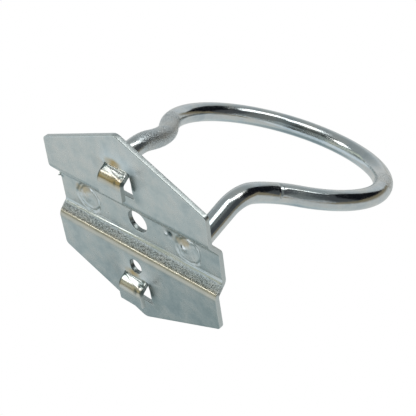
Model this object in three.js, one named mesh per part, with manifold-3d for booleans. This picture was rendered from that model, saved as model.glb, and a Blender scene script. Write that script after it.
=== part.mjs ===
// Machine ring for a perforated tool panel: a pressed zinc-plated plate with two
// lanced hooks, and a round rod bent to an open ring and welded to the plate.
// Millimetres, +Z up. The ring stands out towards -Y and the hooks towards +Y.
// The origin lies on the face that rests on the panel, midway between the hooks.
import * as THREE from 'three';
import { mergeVertices } from 'three/addons/utils/BufferGeometryUtils.js';
import Module from 'manifold-3d';

// Sheet plate
const SHEET = 1.5;              // sheet thickness
const PLATE_WIDTH = 60;         // across the two upright sides
const PLATE_MID_Z = -3;         // mid-height of the plate, below the hooks' middle
const SIDE_HALF = 19.1;         // half length of an upright side
const APEX_HALF = 31.9;         // half of the height from point to point
const SIDE_CORNER_R = 1.5;
const APEX_CORNER_R = 3;

// Pressed channel, heights from the plate's mid-height
const CHANNEL_DEPTH = 3.3;
const UPPER_FOLD_Z = 9.6;       // upper flange to upper ramp
const FLOOR_TOP_Z = 5.1;
const FLOOR_LOW_Z = -4.8;
const LOWER_FOLD_Z = -7.9;      // lower ramp to lower flange
const BEND_R = 2;               // at the middle of the sheet

// Holes, heights from the plate's mid-height
const SCREW_HOLE_D = 6.8;
const SCREW_HOLE_Z = 1.3;
const PIN_HOLE_D = 4.4;
const PIN_HOLE_Z = -12.4;

// Hooks
const HOOK_PITCH = 38;          // hole spacing of the panel
const HOOK_WIDTH = 8.6;
const HOOK_REACH = 4.2;         // panel face to the hook's outer face
const HOOK_ROOT_DROP = 0.6;     // from the hinge down to the root bend
const HOOK_SLOPE_DROP = 1.9;    // from the hinge down to the outer bend
const HOOK_DROP = 7.6;          // from the hinge down to the free end
const HOOK_ROOT_R = 1.2;        // bend radii in the middle of the sheet
const HOOK_BEND_R = 2.3;
const WINDOW_WIDTH = 8.9;
const WINDOW_DROP = 8.8;        // from the hinge down to the window's lower edge

// Rod
const ROD_D = 6;
const LEG_X = 18.9;             // half distance between the legs
const ROOT_Z = 0.6;             // leg ends, from the plate's mid-height
const LEG_LENGTH = 23.6;        // straight length before the shoulder bend
const SHOULDER_R = 22.6;        // centreline radius of the outward bends
const RING_R = 32.5;            // centreline radius of the ring
const RISE = THREE.MathUtils.degToRad(18.2);
const DROP = THREE.MathUtils.degToRad(26.3);
const FOLD_START = 14.1;        // distance along a leg where it turns downward
const FOLD_LENGTH = 10.4;
const TWIST = 0.06;             // the ring's lean sideways, as a slope
const TWIST_REACH = 30;         // distance over which the lean grows

// Weld flash and the marks it leaves on the channel floor
const GAP = 0.3;
const FLASH_R = 4.1;
const FLASH_HEIGHT = 1.5;
const MARK_D = 8.6;
const MARK_DEPTH = 0.25;

const FLOOR_Y = -CHANNEL_DEPTH;
const BACK_Y = FLOOR_Y - SHEET;
const ROD_START_Y = BACK_Y - GAP;

const wasm = await Module();
wasm.setup();

function toSolid(geometry) {
  const bare = geometry.clone();
  bare.deleteAttribute('normal');
  bare.deleteAttribute('uv');
  const merged = mergeVertices(bare, 1e-5);
  return new wasm.Manifold(new wasm.Mesh({
    numProp: 3,
    vertProperties: new Float32Array(merged.attributes.position.array),
    triVerts: new Uint32Array(merged.index.array),
  }));
}

function toGeometry(solid) {
  const mesh = solid.getMesh();
  const geometry = new THREE.BufferGeometry();
  geometry.setAttribute('position', new THREE.BufferAttribute(mesh.vertProperties, 3));
  geometry.setIndex(new THREE.BufferAttribute(mesh.triVerts, 1));
  geometry.computeVertexNormals();
  return geometry;
}

// Replaces each inner corner of a polyline by an arc. A closed line rounds them all.
function roundCorners(points, radii, steps, closed) {
  const out = [];
  const count = points.length;
  for (let i = 0; i < count; i += 1) {
    const radius = radii[i];
    const isEnd = !closed && (i === 0 || i === count - 1);
    if (isEnd || radius === 0) {
      out.push(points[i].clone());
      continue;
    }
    const before = points[(i + count - 1) % count].clone().sub(points[i]).normalize();
    const after = points[(i + 1) % count].clone().sub(points[i]).normalize();
    const half = Math.acos(THREE.MathUtils.clamp(before.dot(after), -1, 1)) / 2;
    const middle = before.clone().add(after).normalize();
    const centre = points[i].clone().addScaledVector(middle, radius / Math.sin(half));
    const start = points[i].clone().addScaledVector(before, radius / Math.tan(half)).sub(centre);
    const end = points[i].clone().addScaledVector(after, radius / Math.tan(half)).sub(centre);
    const turn = Math.atan2(start.cross(end), start.dot(end));
    for (let k = 0; k <= steps; k += 1) {
      const arm = start.clone().rotateAround(new THREE.Vector2(), (turn * k) / steps);
      out.push(centre.clone().add(arm));
    }
  }
  return out;
}

// Gives a bent line the sheet's thickness, half on each side.
function sheetShape(path) {
  const left = [];
  const right = [];
  for (let i = 0; i < path.length; i += 1) {
    const into = path[i].clone().sub(path[Math.max(i - 1, 0)]).normalize();
    const out = path[Math.min(i + 1, path.length - 1)].clone().sub(path[i]).normalize();
    const along = into.add(out).normalize();
    const cosHalf = i === 0 || i === path.length - 1 ? 1 : along.dot(out);
    const offset = new THREE.Vector2(-along.y, along.x).multiplyScalar(SHEET / 2 / cosHalf);
    left.push(path[i].clone().add(offset));
    right.push(path[i].clone().sub(offset));
  }
  return new THREE.Shape(left.concat(right.reverse()));
}

// Extrudes a section drawn in (Y, Z) across X, centred on x = 0.
function acrossX(shape, width) {
  const geometry = new THREE.ExtrudeGeometry(shape, { depth: width, bevelEnabled: false });
  geometry.translate(0, 0, -width / 2);
  const basis = new THREE.Matrix4().makeBasis(
    new THREE.Vector3(0, 1, 0), new THREE.Vector3(0, 0, 1), new THREE.Vector3(1, 0, 0),
  );
  return toSolid(geometry.applyMatrix4(basis));
}

// Extrudes an outline drawn in (X, Z) from the front height y down by a depth.
function alongY(shape, frontY, depth) {
  const geometry = new THREE.ExtrudeGeometry(shape, { depth, bevelEnabled: false });
  const basis = new THREE.Matrix4().makeBasis(
    new THREE.Vector3(1, 0, 0), new THREE.Vector3(0, 0, 1), new THREE.Vector3(0, -1, 0),
  );
  geometry.applyMatrix4(basis);
  geometry.translate(0, frontY, 0);
  return toSolid(geometry);
}

function circleShape(x, z, diameter, segments) {
  const points = [];
  for (let i = 0; i < segments; i += 1) {
    const angle = (2 * Math.PI * i) / segments;
    points.push(new THREE.Vector2(
      x + (diameter / 2) * Math.cos(angle),
      z + (diameter / 2) * Math.sin(angle),
    ));
  }
  return new THREE.Shape(points);
}

function makeChannelSheet() {
  const flangeY = -SHEET / 2;
  const floorY = flangeY - CHANNEL_DEPTH;
  const reach = APEX_HALF + 2;
  const corners = [
    new THREE.Vector2(flangeY, PLATE_MID_Z + reach),
    new THREE.Vector2(flangeY, PLATE_MID_Z + UPPER_FOLD_Z),
    new THREE.Vector2(floorY, PLATE_MID_Z + FLOOR_TOP_Z),
    new THREE.Vector2(floorY, PLATE_MID_Z + FLOOR_LOW_Z),
    new THREE.Vector2(flangeY, PLATE_MID_Z + LOWER_FOLD_Z),
    new THREE.Vector2(flangeY, PLATE_MID_Z - reach),
  ];
  const path = roundCorners(corners, [0, BEND_R, BEND_R, BEND_R, BEND_R, 0], 5, false);
  return acrossX(sheetShape(path), PLATE_WIDTH + 4);
}

function makeOutline() {
  const halfWidth = PLATE_WIDTH / 2;
  const corners = [
    new THREE.Vector2(halfWidth, PLATE_MID_Z - SIDE_HALF),
    new THREE.Vector2(halfWidth, PLATE_MID_Z + SIDE_HALF),
    new THREE.Vector2(0, PLATE_MID_Z + APEX_HALF),
    new THREE.Vector2(-halfWidth, PLATE_MID_Z + SIDE_HALF),
    new THREE.Vector2(-halfWidth, PLATE_MID_Z - SIDE_HALF),
    new THREE.Vector2(0, PLATE_MID_Z - APEX_HALF),
  ];
  const side = SIDE_CORNER_R;
  const radii = [side, side, APEX_CORNER_R, side, side, APEX_CORNER_R];
  const points = roundCorners(corners, radii, 4, true);
  return alongY(new THREE.Shape(points), 2, BACK_Y * -1 + 4);
}

function makeWindow(hingeZ) {
  const half = WINDOW_WIDTH / 2;
  const shape = new THREE.Shape([
    new THREE.Vector2(-half, hingeZ - WINDOW_DROP),
    new THREE.Vector2(half, hingeZ - WINDOW_DROP),
    new THREE.Vector2(half, hingeZ),
    new THREE.Vector2(-half, hingeZ),
  ]);
  return alongY(shape, 1, SHEET + 2);
}

function makeHook(hingeZ) {
  const flangeY = -SHEET / 2;
  const outerY = HOOK_REACH - SHEET / 2;
  const corners = [
    new THREE.Vector2(flangeY, hingeZ + 1.6),
    new THREE.Vector2(flangeY, hingeZ - HOOK_ROOT_DROP),
    new THREE.Vector2(outerY, hingeZ - HOOK_SLOPE_DROP),
    new THREE.Vector2(outerY, hingeZ - HOOK_DROP),
  ];
  const path = roundCorners(corners, [0, HOOK_ROOT_R, HOOK_BEND_R, 0], 6, false);
  return acrossX(sheetShape(path), HOOK_WIDTH);
}

function makePlate() {
  let plate = makeChannelSheet().intersect(makeOutline());
  for (const hingeZ of [HOOK_PITCH / 2, -HOOK_PITCH / 2]) {
    plate = plate.subtract(makeWindow(hingeZ)).add(makeHook(hingeZ));
  }
  const screwHole = circleShape(0, PLATE_MID_Z + SCREW_HOLE_Z, SCREW_HOLE_D, 32);
  const pinHole = circleShape(0, PLATE_MID_Z + PIN_HOLE_Z, PIN_HOLE_D, 24);
  plate = plate.subtract(alongY(screwHole, 1, 8));
  plate = plate.subtract(alongY(pinHole, 1, 4));
  for (const x of [-LEG_X, LEG_X]) {
    const mark = circleShape(x, PLATE_MID_Z + ROOT_Z, MARK_D, 28);
    plate = plate.subtract(alongY(mark, FLOOR_Y + 1, 1 + MARK_DEPTH));
  }
  return plate;
}

// The rod's centreline: an open ring with two legs, drawn flat and then folded
// about a line across the legs, so that the legs rise and the ring slopes down.
class RodCentreline extends THREE.Curve {
  constructor(overrun) {
    super();
    const middleX = LEG_X + SHOULDER_R;
    const reach = Math.sqrt((RING_R + SHOULDER_R) ** 2 - middleX ** 2);
    this.overrun = overrun;
    this.ringCentre = LEG_LENGTH + reach;
    this.shoulderTurn = Math.PI - Math.atan2(reach, -middleX);
    this.ringHalfTurn = Math.PI / 2 - Math.atan2(-reach, middleX);
    this.legPart = LEG_LENGTH + overrun;
    this.shoulderPart = SHOULDER_R * this.shoulderTurn;
    this.ringPart = RING_R * this.ringHalfTurn;
  }

  // Flat position for a distance from the leg's end, on the +X half.
  flat(distance) {
    if (distance < this.legPart) {
      return [LEG_X, distance - this.overrun];
    }
    const afterLeg = distance - this.legPart;
    if (afterLeg < this.shoulderPart) {
      const angle = Math.PI - afterLeg / SHOULDER_R;
      return [
        LEG_X + SHOULDER_R + SHOULDER_R * Math.cos(angle),
        LEG_LENGTH + SHOULDER_R * Math.sin(angle),
      ];
    }
    const toTip = this.ringPart - (afterLeg - this.shoulderPart);
    const angle = Math.PI / 2 - toTip / RING_R;
    return [RING_R * Math.cos(angle), this.ringCentre + RING_R * Math.sin(angle)];
  }

  getPoint(t, target = new THREE.Vector3()) {
    const half = this.legPart + this.shoulderPart + this.ringPart;
    const distance = 2 * half * t;
    const side = distance < half ? -1 : 1;
    const [flatX, along] = this.flat(side < 0 ? distance : 2 * half - distance);
    const x = side * flatX;
    const bent = THREE.MathUtils.clamp(along - FOLD_START, 0, FOLD_LENGTH);
    const slope = RISE - ((RISE + DROP) * bent) / FOLD_LENGTH;
    const foldR = FOLD_LENGTH / (RISE + DROP);
    const before = Math.min(along, FOLD_START);
    const after = Math.max(along - FOLD_START - FOLD_LENGTH, 0);
    const out = before * Math.cos(RISE)
      + foldR * (Math.sin(RISE) - Math.sin(slope)) + after * Math.cos(DROP);
    const up = before * Math.sin(RISE)
      + foldR * (Math.cos(slope) - Math.cos(RISE)) - after * Math.sin(DROP);
    const lean = TWIST * x * THREE.MathUtils.clamp(out / TWIST_REACH, 0, 1);
    return target.set(x, BACK_Y - out, PLATE_MID_Z + ROOT_Z + up + lean);
  }
}

function sweepRod(radius, steps, segments) {
  const section = circleShape(0, 0, 2 * radius, segments);
  const extrudePath = new RodCentreline(2);
  const geometry = new THREE.ExtrudeGeometry(section, { steps, extrudePath, bevelEnabled: false });
  return toSolid(geometry);
}

function behindFloor(depth) {
  const box = new THREE.BoxGeometry(200, depth, 200);
  box.translate(0, ROD_START_Y - depth / 2, 0);
  return toSolid(box);
}

function makeFlash(x, rodClearance) {
  const profile = [
    new THREE.Vector2(0, 0),
    new THREE.Vector2(FLASH_R, 0),
    new THREE.Vector2(FLASH_R, 0.45),
    new THREE.Vector2(FLASH_R - 0.18, 0.95),
    new THREE.Vector2(FLASH_R - 0.45, FLASH_HEIGHT),
    new THREE.Vector2(0, FLASH_HEIGHT),
  ];
  const geometry = new THREE.LatheGeometry(profile, 28);
  geometry.rotateX(Math.PI);
  geometry.translate(x, ROD_START_Y, PLATE_MID_Z + ROOT_Z);
  return toSolid(geometry).subtract(rodClearance);
}

function steel(colour, roughness) {
  return new THREE.MeshStandardMaterial({ color: colour, roughness, metalness: 1 });
}

function addPiece(group, name, solid, material) {
  const mesh = new THREE.Mesh(toGeometry(solid), material);
  mesh.name = name;
  group.add(mesh);
}

const rodClearance = sweepRod(ROD_D / 2 + GAP, 150, 24);
const rod = sweepRod(ROD_D / 2, 150, 16).intersect(behindFloor(150));

const ringHolder = new THREE.Group();
addPiece(ringHolder, 'back_plate', makePlate(), steel('#a6adae', 0.38));
addPiece(ringHolder, 'ring_rod', rod, steel('#b0b8ba', 0.24));
addPiece(ringHolder, 'weld_left', makeFlash(-LEG_X, rodClearance), steel('#8f9495', 0.5));
addPiece(ringHolder, 'weld_right', makeFlash(LEG_X, rodClearance), steel('#8f9495', 0.5));

export default ringHolder;
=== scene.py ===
"""Looks of a zinc-plated ring holder for a perforated tool panel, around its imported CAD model.

The plate is rebuilt as one finely meshed sheet with rounded cut edges, the rod as one swept
tube with tool marks, and the two welds as rough collars. Lengths are millimetres in the shape
code and metres in Blender.
"""

import math
from collections import namedtuple

import bpy
import numpy as np
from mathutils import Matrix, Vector, noise
from mathutils.geometry import delaunay_2d_cdt


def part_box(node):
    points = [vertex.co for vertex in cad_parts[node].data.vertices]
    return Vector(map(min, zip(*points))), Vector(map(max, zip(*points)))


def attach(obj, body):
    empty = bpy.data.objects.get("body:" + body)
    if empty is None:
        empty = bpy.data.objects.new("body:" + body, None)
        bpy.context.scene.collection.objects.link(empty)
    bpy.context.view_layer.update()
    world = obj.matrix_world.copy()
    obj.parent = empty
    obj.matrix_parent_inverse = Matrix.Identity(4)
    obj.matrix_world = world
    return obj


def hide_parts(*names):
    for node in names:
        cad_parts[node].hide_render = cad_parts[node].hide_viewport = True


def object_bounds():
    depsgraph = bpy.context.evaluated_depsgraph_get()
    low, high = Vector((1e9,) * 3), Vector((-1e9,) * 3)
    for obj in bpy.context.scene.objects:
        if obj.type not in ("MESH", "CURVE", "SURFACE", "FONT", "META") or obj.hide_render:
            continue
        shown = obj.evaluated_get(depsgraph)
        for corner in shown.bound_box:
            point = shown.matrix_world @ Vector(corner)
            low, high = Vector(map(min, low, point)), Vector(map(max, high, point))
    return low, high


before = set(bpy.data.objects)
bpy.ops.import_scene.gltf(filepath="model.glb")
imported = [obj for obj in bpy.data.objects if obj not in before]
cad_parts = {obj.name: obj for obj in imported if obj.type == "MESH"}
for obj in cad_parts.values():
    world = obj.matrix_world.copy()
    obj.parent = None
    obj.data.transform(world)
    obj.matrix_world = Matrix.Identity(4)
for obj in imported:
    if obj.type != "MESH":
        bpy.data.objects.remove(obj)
cad_low, cad_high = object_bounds()
MM = 0.001

# Plate, the same sizes as the CAD model's
plate_low, plate_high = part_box("back_plate")
PLATE_WIDTH = (plate_high.x - plate_low.x) / MM
PLATE_MID_Z = (plate_high.z + plate_low.z) / 2 / MM
HOOK_REACH = plate_high.y / MM
BACK_Y = plate_low.y / MM
SHEET = 1.5
CHANNEL_DEPTH = -BACK_Y - SHEET
SIDE_HALF = 19.1
APEX_HALF = 31.9
UPPER_FOLD_Z = 9.6
FLOOR_TOP_Z = 5.1
FLOOR_LOW_Z = -4.8
LOWER_FOLD_Z = -7.9
BEND_R = 2.0
SCREW_HOLE_D = 6.8
SCREW_HOLE_Z = 1.3
PIN_HOLE_D = 4.4
PIN_HOLE_Z = -12.4

# Hooks, lanced from the sheet
HOOK_PITCH = 38.0
HOOK_WIDTH = 8.6
HOOK_ROOT_DROP = 0.6
HOOK_SLOPE_DROP = 1.9
HOOK_DROP = 7.6
HOOK_BEND_R = 2.3
WINDOW_WIDTH = 8.9
WINDOW_DROP = 8.8
TAB_LENGTH = 8.5

# Rod
ROD_R = 3.0
LEG_X = 18.9
ROOT_Z = 0.6
LEG_LENGTH = 23.6
SHOULDER_R = 22.6
RING_R = 32.5
RISE = math.radians(18.2)
DROP = math.radians(26.3)
FOLD_START = 14.1
FOLD_LENGTH = 10.4
TWIST = 0.06
TWIST_REACH = 30.0
GAP = 0.3
# The -X and the +X half of the object
SIDES = (-1, 1)

# Camera at the photograph's viewing angle
CAMERA_AT = (-0.20535, 0.16174, 0.21478)
CAMERA_TURN = (50.477, 5.78, -137.725)
LENS = 109.93


# -------- paths and meshes


def arc_at(corner, before, after, radius, steps):
    """Rounding of a corner: the arc's centre, its spokes out to the arc, the angle it turns."""
    half = math.acos(max(-1.0, min(1.0, before.dot(after)))) / 2
    centre = corner + (before + after).normalized() * (radius / math.sin(half))
    start = corner + before * (radius / math.tan(half)) - centre
    end = corner + after * (radius / math.tan(half)) - centre
    turn = math.atan2(start.x * end.y - start.y * end.x, start.dot(end))
    spokes = []
    for k in range(steps + 1):
        angle = turn * k / steps
        cos_a, sin_a = math.cos(angle), math.sin(angle)
        spokes.append(Vector((start.x * cos_a - start.y * sin_a, start.x * sin_a + start.y * cos_a)))
    return centre, spokes, turn


class Path:
    """A line in the (y, z) plane whose corners are rounded, measured along its length."""

    def __init__(self, corners, radii, steps=12):
        self.points = []
        self.tangents = []
        corners = [Vector(c) for c in corners]
        for i, (corner, radius) in enumerate(zip(corners, radii)):
            if radius == 0:
                other = corners[i + 1] if i == 0 else corners[i - 1]
                along = (other - corner) if i == 0 else (corner - other)
                self._add(corner, along.normalized())
                continue
            before = (corners[i - 1] - corner).normalized()
            after = (corners[i + 1] - corner).normalized()
            centre, spokes, turn = arc_at(corner, before, after, radius, steps)
            sign = 1.0 if turn > 0 else -1.0
            for spoke in spokes:
                self._add(centre + spoke, Vector((-spoke.y, spoke.x)).normalized() * sign)
        self.at_length = [0.0]
        for a, b in zip(self.points, self.points[1:]):
            self.at_length.append(self.at_length[-1] + (b - a).length)
        self.length = self.at_length[-1]

    def _add(self, point, tangent):
        self.points.append(point)
        self.tangents.append(tangent)

    def at(self, s):
        """Point and tangent at a length along the path."""
        s = max(0.0, min(self.length, s))
        i = int(np.searchsorted(self.at_length, s, side="right")) - 1
        i = max(0, min(i, len(self.points) - 2))
        span = self.at_length[i + 1] - self.at_length[i]
        part = (s - self.at_length[i]) / span if span > 1e-9 else 0.0
        point = self.points[i].lerp(self.points[i + 1], part)
        tangent = self.tangents[i].lerp(self.tangents[i + 1], part).normalized()
        return point, tangent

    def length_at_z(self, z):
        """Length along the path at a height. The path runs downward."""
        heights = [-p.y for p in self.points]
        return float(np.interp(-z, heights, self.at_length))


def smooth(value, low, high):
    """Rises from 0 at low to 1 at high, level at both ends."""
    t = max(0.0, min(1.0, (value - low) / (high - low)))
    return t * t * (3 - 2 * t)


def bell(distance, width=1.0):
    """Falls from 1 in the middle to 0.37 at the given width."""
    ratio = distance / width
    return math.exp(-ratio * ratio)


def uneven(x, y, x_scale, y_scale, seed):
    """Smooth noise about 0 over a plane, with its number of cells per unit along each axis."""
    return noise.noise(Vector((x * x_scale, y * y_scale, seed)))


def strip(first, second):
    """Faces of the closed strip between two rows of vertex numbers."""
    count = len(first)
    for i in range(count):
        j = (i + 1) % count
        yield first[i], first[j], second[j], second[i]


def in_radii(x, y, middle, radii):
    """Squared distance of a place from the middle of an oval, 1 on the oval itself."""
    across, up = (x - middle[0]) / radii[0], (y - middle[1]) / radii[1]
    return across * across + up * up


def new_object(name, vertices, faces, material):
    """A smooth-shaded mesh object from millimetre vertices."""
    mesh = bpy.data.meshes.new(name)
    mesh.from_pydata([tuple(c * MM for c in v) for v in vertices], [], faces)
    mesh.polygons.foreach_set("use_smooth", [True] * len(mesh.polygons))
    mesh.validate()
    mesh.update()
    obj = bpy.data.objects.new(name, mesh)
    bpy.context.scene.collection.objects.link(obj)
    mesh.materials.append(material)
    return obj


def paint(obj, name, values):
    """A number or a vector per vertex, for the material to read."""
    values = np.array(values, dtype=np.float32)
    kind, field = ("FLOAT", "value") if values.ndim == 1 else ("FLOAT_VECTOR", "vector")
    obj.data.attributes.new(name, kind, "POINT").data.foreach_set(field, values.ravel())


# -------- plate

SHEET_REACH = APEX_HALF + 2
FLANGE_Y = -SHEET / 2
FLOOR_MID_Y = FLANGE_Y - CHANNEL_DEPTH
HOOK_MID_Y = HOOK_REACH - SHEET / 2
# A hook's root: its top above the hinge line, the small step forward and down, the bend in it
ROOT_TOP = 0.05
ROOT_FORWARD = 0.33
ROOT_DOWN = HOOK_ROOT_DROP - 0.1
ROOT_BEND_R = 0.8

sheet_path = Path(
    [
        (FLANGE_Y, PLATE_MID_Z + SHEET_REACH),
        (FLANGE_Y, PLATE_MID_Z + UPPER_FOLD_Z),
        (FLOOR_MID_Y, PLATE_MID_Z + FLOOR_TOP_Z),
        (FLOOR_MID_Y, PLATE_MID_Z + FLOOR_LOW_Z),
        (FLANGE_Y, PLATE_MID_Z + LOWER_FOLD_Z),
        (FLANGE_Y, PLATE_MID_Z - SHEET_REACH),
    ],
    [0, BEND_R, BEND_R, BEND_R, BEND_R, 0],
)
hook_path = Path(
    [
        (FLANGE_Y, ROOT_TOP),
        (FLANGE_Y + ROOT_FORWARD, -ROOT_DOWN),
        (HOOK_MID_Y, -HOOK_SLOPE_DROP),
        (HOOK_MID_Y, -HOOK_DROP),
    ],
    [0, ROOT_BEND_R, HOOK_BEND_R, 0],
)


def flat_s(above_middle):
    """Length along the sheet at a height above the plate's middle."""
    return sheet_path.length_at_z(PLATE_MID_Z + above_middle)


# Upper hook first, then the lower one
HINGES = [HOOK_PITCH / 2, -HOOK_PITCH / 2]
HINGE_S = [sheet_path.length_at_z(z) for z in HINGES]
TAB_EDGE = (HOOK_WIDTH + WINDOW_WIDTH) / 4
TAB_END = (TAB_LENGTH + WINDOW_DROP) / 2


def hook_of(x, s):
    """The hook that a flat point belongs to, or None if it is plain sheet."""
    if abs(x) >= TAB_EDGE:
        return None
    for hook, start in enumerate(HINGE_S):
        if start < s < start + TAB_END:
            return hook
    return None


def along_hook(hook, s):
    """How far a flat place on a hook's tab lies along the bent hook."""
    return (s - HINGE_S[hook]) / TAB_LENGTH * hook_path.length


# ---- relief of the welds

WELD_S = flat_s(ROOT_Z)
# The round mark on the channel floor: a broken groove and low rim round a sunk, tilted disc
MARK_R = 4.2
MARK_SHIFT = 0.4
MARK_WOBBLE = 0.5
MARK_REACH = 13
GROOVE_DEPTH = 0.42
GROOVE_HALF = 0.33
GROOVE_LEAST = 0.12
RIM_HEIGHT = 0.04
RIM_HALF = 0.4
RIM_AWAY = 0.75
DISC_SLOPE = 1.2
DISC_DEPTH = 0.16
DISC_LUMPS = 0.22
DISC_RIPPLES = 0.035
DISC_TILT = 0.16

# Splashes and pits beside the welds: offset from a weld's centre, radius, height, and how
# strong the painted highlight on the bead is
Splash = namedtuple("Splash", "across above radius height gleam")
SPLASHES = {
    -1: [
        Splash(-0.3, 3.3, 0.95, 0.35, 1.0), Splash(2.0, 0.0, 0.80, 0.35, 1.0),
        Splash(2.9, -0.2, 0.4, -0.3, 0.0), Splash(6.7, 2.4, 0.85, -0.45, 0.0),
        Splash(7.9, 2.1, 0.45, 0.30, 0.8),
    ],
    1: [
        Splash(-1.3, 3.2, 0.6, 0.25, 0.7), Splash(0.6, 1.9, 0.4, -0.12, 0.0),
        Splash(10.9, 3.9, 0.55, 1.1, 0.0),
    ],
}
# Deeper pits than this get painted shade
SHADE_FROM_DEPTH = 0.2


def splashes_near(x, s, sides=SIDES):
    """The splashes of the welds, each with a place's distance from its middle in radii."""
    for side in sides:
        for splash in SPLASHES[side]:
            dx = x - side * LEG_X - splash.across
            up = WELD_S - s - splash.above
            yield splash, math.hypot(dx, up) / splash.radius


def weld_mark(x, s):
    """Height that a weld gives to the channel floor's front: groove, uneven disc and splashes."""
    height = 0.0
    for side in SIDES:
        dx, up = x - side * LEG_X, WELD_S - s
        if math.hypot(dx, up) > MARK_REACH:
            continue
        reach = math.hypot(dx - MARK_SHIFT, up) + MARK_WOBBLE * uneven(x, s, 0.3, 0.3, 3.1 + side)
        angle = math.atan2(up, dx)
        broken = 0.55 + 0.9 * uneven(math.cos(angle), math.sin(angle), 2, 2, side)
        height -= GROOVE_DEPTH * max(broken, GROOVE_LEAST) * bell(reach - MARK_R, GROOVE_HALF)
        height += RIM_HEIGHT * bell(reach - MARK_R - RIM_AWAY, RIM_HALF)
        inside = 1 - smooth(reach, MARK_R - DISC_SLOPE, MARK_R)
        lumps = DISC_LUMPS * uneven(x, s, 0.26, 0.26, 9.0)
        ripples = DISC_RIPPLES * uneven(x, s, 1.3, 0.9, 4.0)
        tilt = DISC_TILT * max(0.0, up + 0.5 * dx - 0.8)
        height -= inside * (DISC_DEPTH + lumps + ripples + tilt)
        for splash, away in splashes_near(x, s, [side]):
            height += splash.height * bell(away)
    return height


# ---- relief of the pressed sheet

# Beyond BOW_FROM from the welds' line the flanges bow back by BOW_SLOPE for each mm
BOW_FROM = 9.0
BOW_SLOPE = 0.018
# The bulge round a hinge: its flat half width, how it fades to -X, to +X and below the hinge
BULGE_HALF = 3.2
BULGE_FADE_MINUS = 3.3
BULGE_FADE_PLUS = 3.6
BULGE_FADE_BELOW = 6.0
# Height of its sharp part and of its broad part, and how each fades above the hinge
SHARP_BULGE = 0.7
SHARP_FADE = 1.6
BROAD_BULGE = 0.25
BROAD_FADE = 5.0
# The lip on the -X side of a window
LIP_HEIGHT = 0.6
LIP_FADE = 2.6
# Folds across a hook's top: distance down at its +X edge, fall towards -X, half width
CREASES = [(0.9, 1.1, 0.50), (0.6, 4.0, 0.55)]
CREASE_HEIGHT = 0.05
DENT_HEIGHT = 0.22
# The sharp line above the lower ramp: where it runs on the middle line, its slope and size
FOLD_LINE_S = flat_s(FLOOR_LOW_Z + 0.25)
FOLD_LINE_SLOPE = 0.03
FOLD_LINE_DEPTH = 0.15
FOLD_LINE_WIDTH = 0.28


def waviness(x, s):
    """Slow unevenness of the pressed sheet, as a shift along its normal."""
    broad = 0.05 * uneven(x, s, 0.055, 0.055, 1.7)
    middle = 0.012 * uneven(x, s, 0.16, 0.16, 5.2)
    return broad + middle - BOW_SLOPE * max(abs(s - WELD_S) - BOW_FROM, 0.0)


def hook_bulge(x, s):
    """How far the lancing tool has drawn the sheet forward around the hinges."""
    lift = 0.0
    for start in HINGE_S:
        beside = max(abs(x) - BULGE_HALF, 0.0) / (BULGE_FADE_MINUS if x < 0 else BULGE_FADE_PLUS)
        above = max(start - s, 0.0)
        below = max(s - start, 0.0) / BULGE_FADE_BELOW
        rise = SHARP_BULGE * math.exp(-above / SHARP_FADE) + BROAD_BULGE * bell(above, BROAD_FADE)
        lift += rise * math.exp(-beside * beside - below * below)
    return lift


def window_lip(x, s):
    """How far the sheet on the -X side of each window was pulled forward when it was lanced."""
    if x >= 0:
        return 0.0
    lift = 0.0
    for start in HINGE_S:
        end = start + WINDOW_DROP
        along = smooth(s, start - 2.5, start + 1.0) * (1 - smooth(s, end - 4.0, end + 2.0))
        lift += LIP_HEIGHT * along * bell(max(-WINDOW_WIDTH / 2 - x, 0.0), LIP_FADE)
    return lift


def creases(x, down):
    """Height of the folds and dents on a hook's top, at a distance down from its hinge."""
    across = (HOOK_WIDTH / 2 - x) / HOOK_WIDTH
    height = 0.0
    for start, fall, half in CREASES:
        height += CREASE_HEIGHT * bell(down - start - fall * across, half)
    height += DENT_HEIGHT * smooth(across, 0.5, 0.95) * uneven(x, down, 0.5, 0.5, 6.0)
    return height * (1 - smooth(down, 4.6, 6.0))


def fold_line(x, s):
    """Depth of the sharp line that the press left where the channel floor meets the lower ramp."""
    return FOLD_LINE_DEPTH * bell(s - FOLD_LINE_S - FOLD_LINE_SLOPE * x, FOLD_LINE_WIDTH)


def sheet_point(x, s, height):
    """A point of the sheet: x across, s down along it, height from its middle to the hooks' side."""
    hook = hook_of(x, s)
    if hook is None:
        point, tangent = sheet_path.at(s)
        z_shift = 0.0
        forward = max(hook_bulge(x, s), window_lip(x, s))
        front_share = (height / (SHEET / 2) + 1) / 2
        relief = (weld_mark(x, s) - fold_line(x, s)) * front_share
    else:
        down = along_hook(hook, s)
        point, tangent = hook_path.at(down)
        z_shift = HINGES[hook]
        forward = hook_bulge(x, HINGE_S[hook]) * (1 - smooth(down, 0.2, 4.6))
        relief = creases(x, down)
    lift = height + waviness(x, s) + relief
    normal = Vector((-tangent.y, tangent.x))
    return (x, point.x + normal.x * lift + forward, point.y + z_shift + normal.y * lift)


# ---- looks of the sheet, as numbers from 0 to about 1 for the material

# Yellow tint, a heat stain by the weld and a painted tan reflection on the bulge by the hinge: the
# middle, beside and above the weld or the hinge, and half the size
WELD_STAIN_AT = (2.3, 1.9)
WELD_STAIN_HALF = (2.7, 1.6)
WELD_STAIN = 0.7
HINGE_PAINTED_TAN_AT = (1.4, 0.9)
HINGE_PAINTED_TAN_HALF = (2.9, 1.1)
LOWER_FOLD_S = flat_s(LOWER_FOLD_Z)
# Painted tan reflection on the lower fold's outer bend
LOWER_FOLD_PAINTED_TAN = 0.5
# Upper and lower hook: how strong the painted tan reflection on the outer bend is, and how much
# painted shade its dents get
HOOK_PAINTED_TAN = [0.95, 0.60]
HOOK_DENT_SHADE = [0.2, 0.9]
OUTER_BEND_DOWN = 4.5
OUTER_BEND_HALF = 1.1
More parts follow.
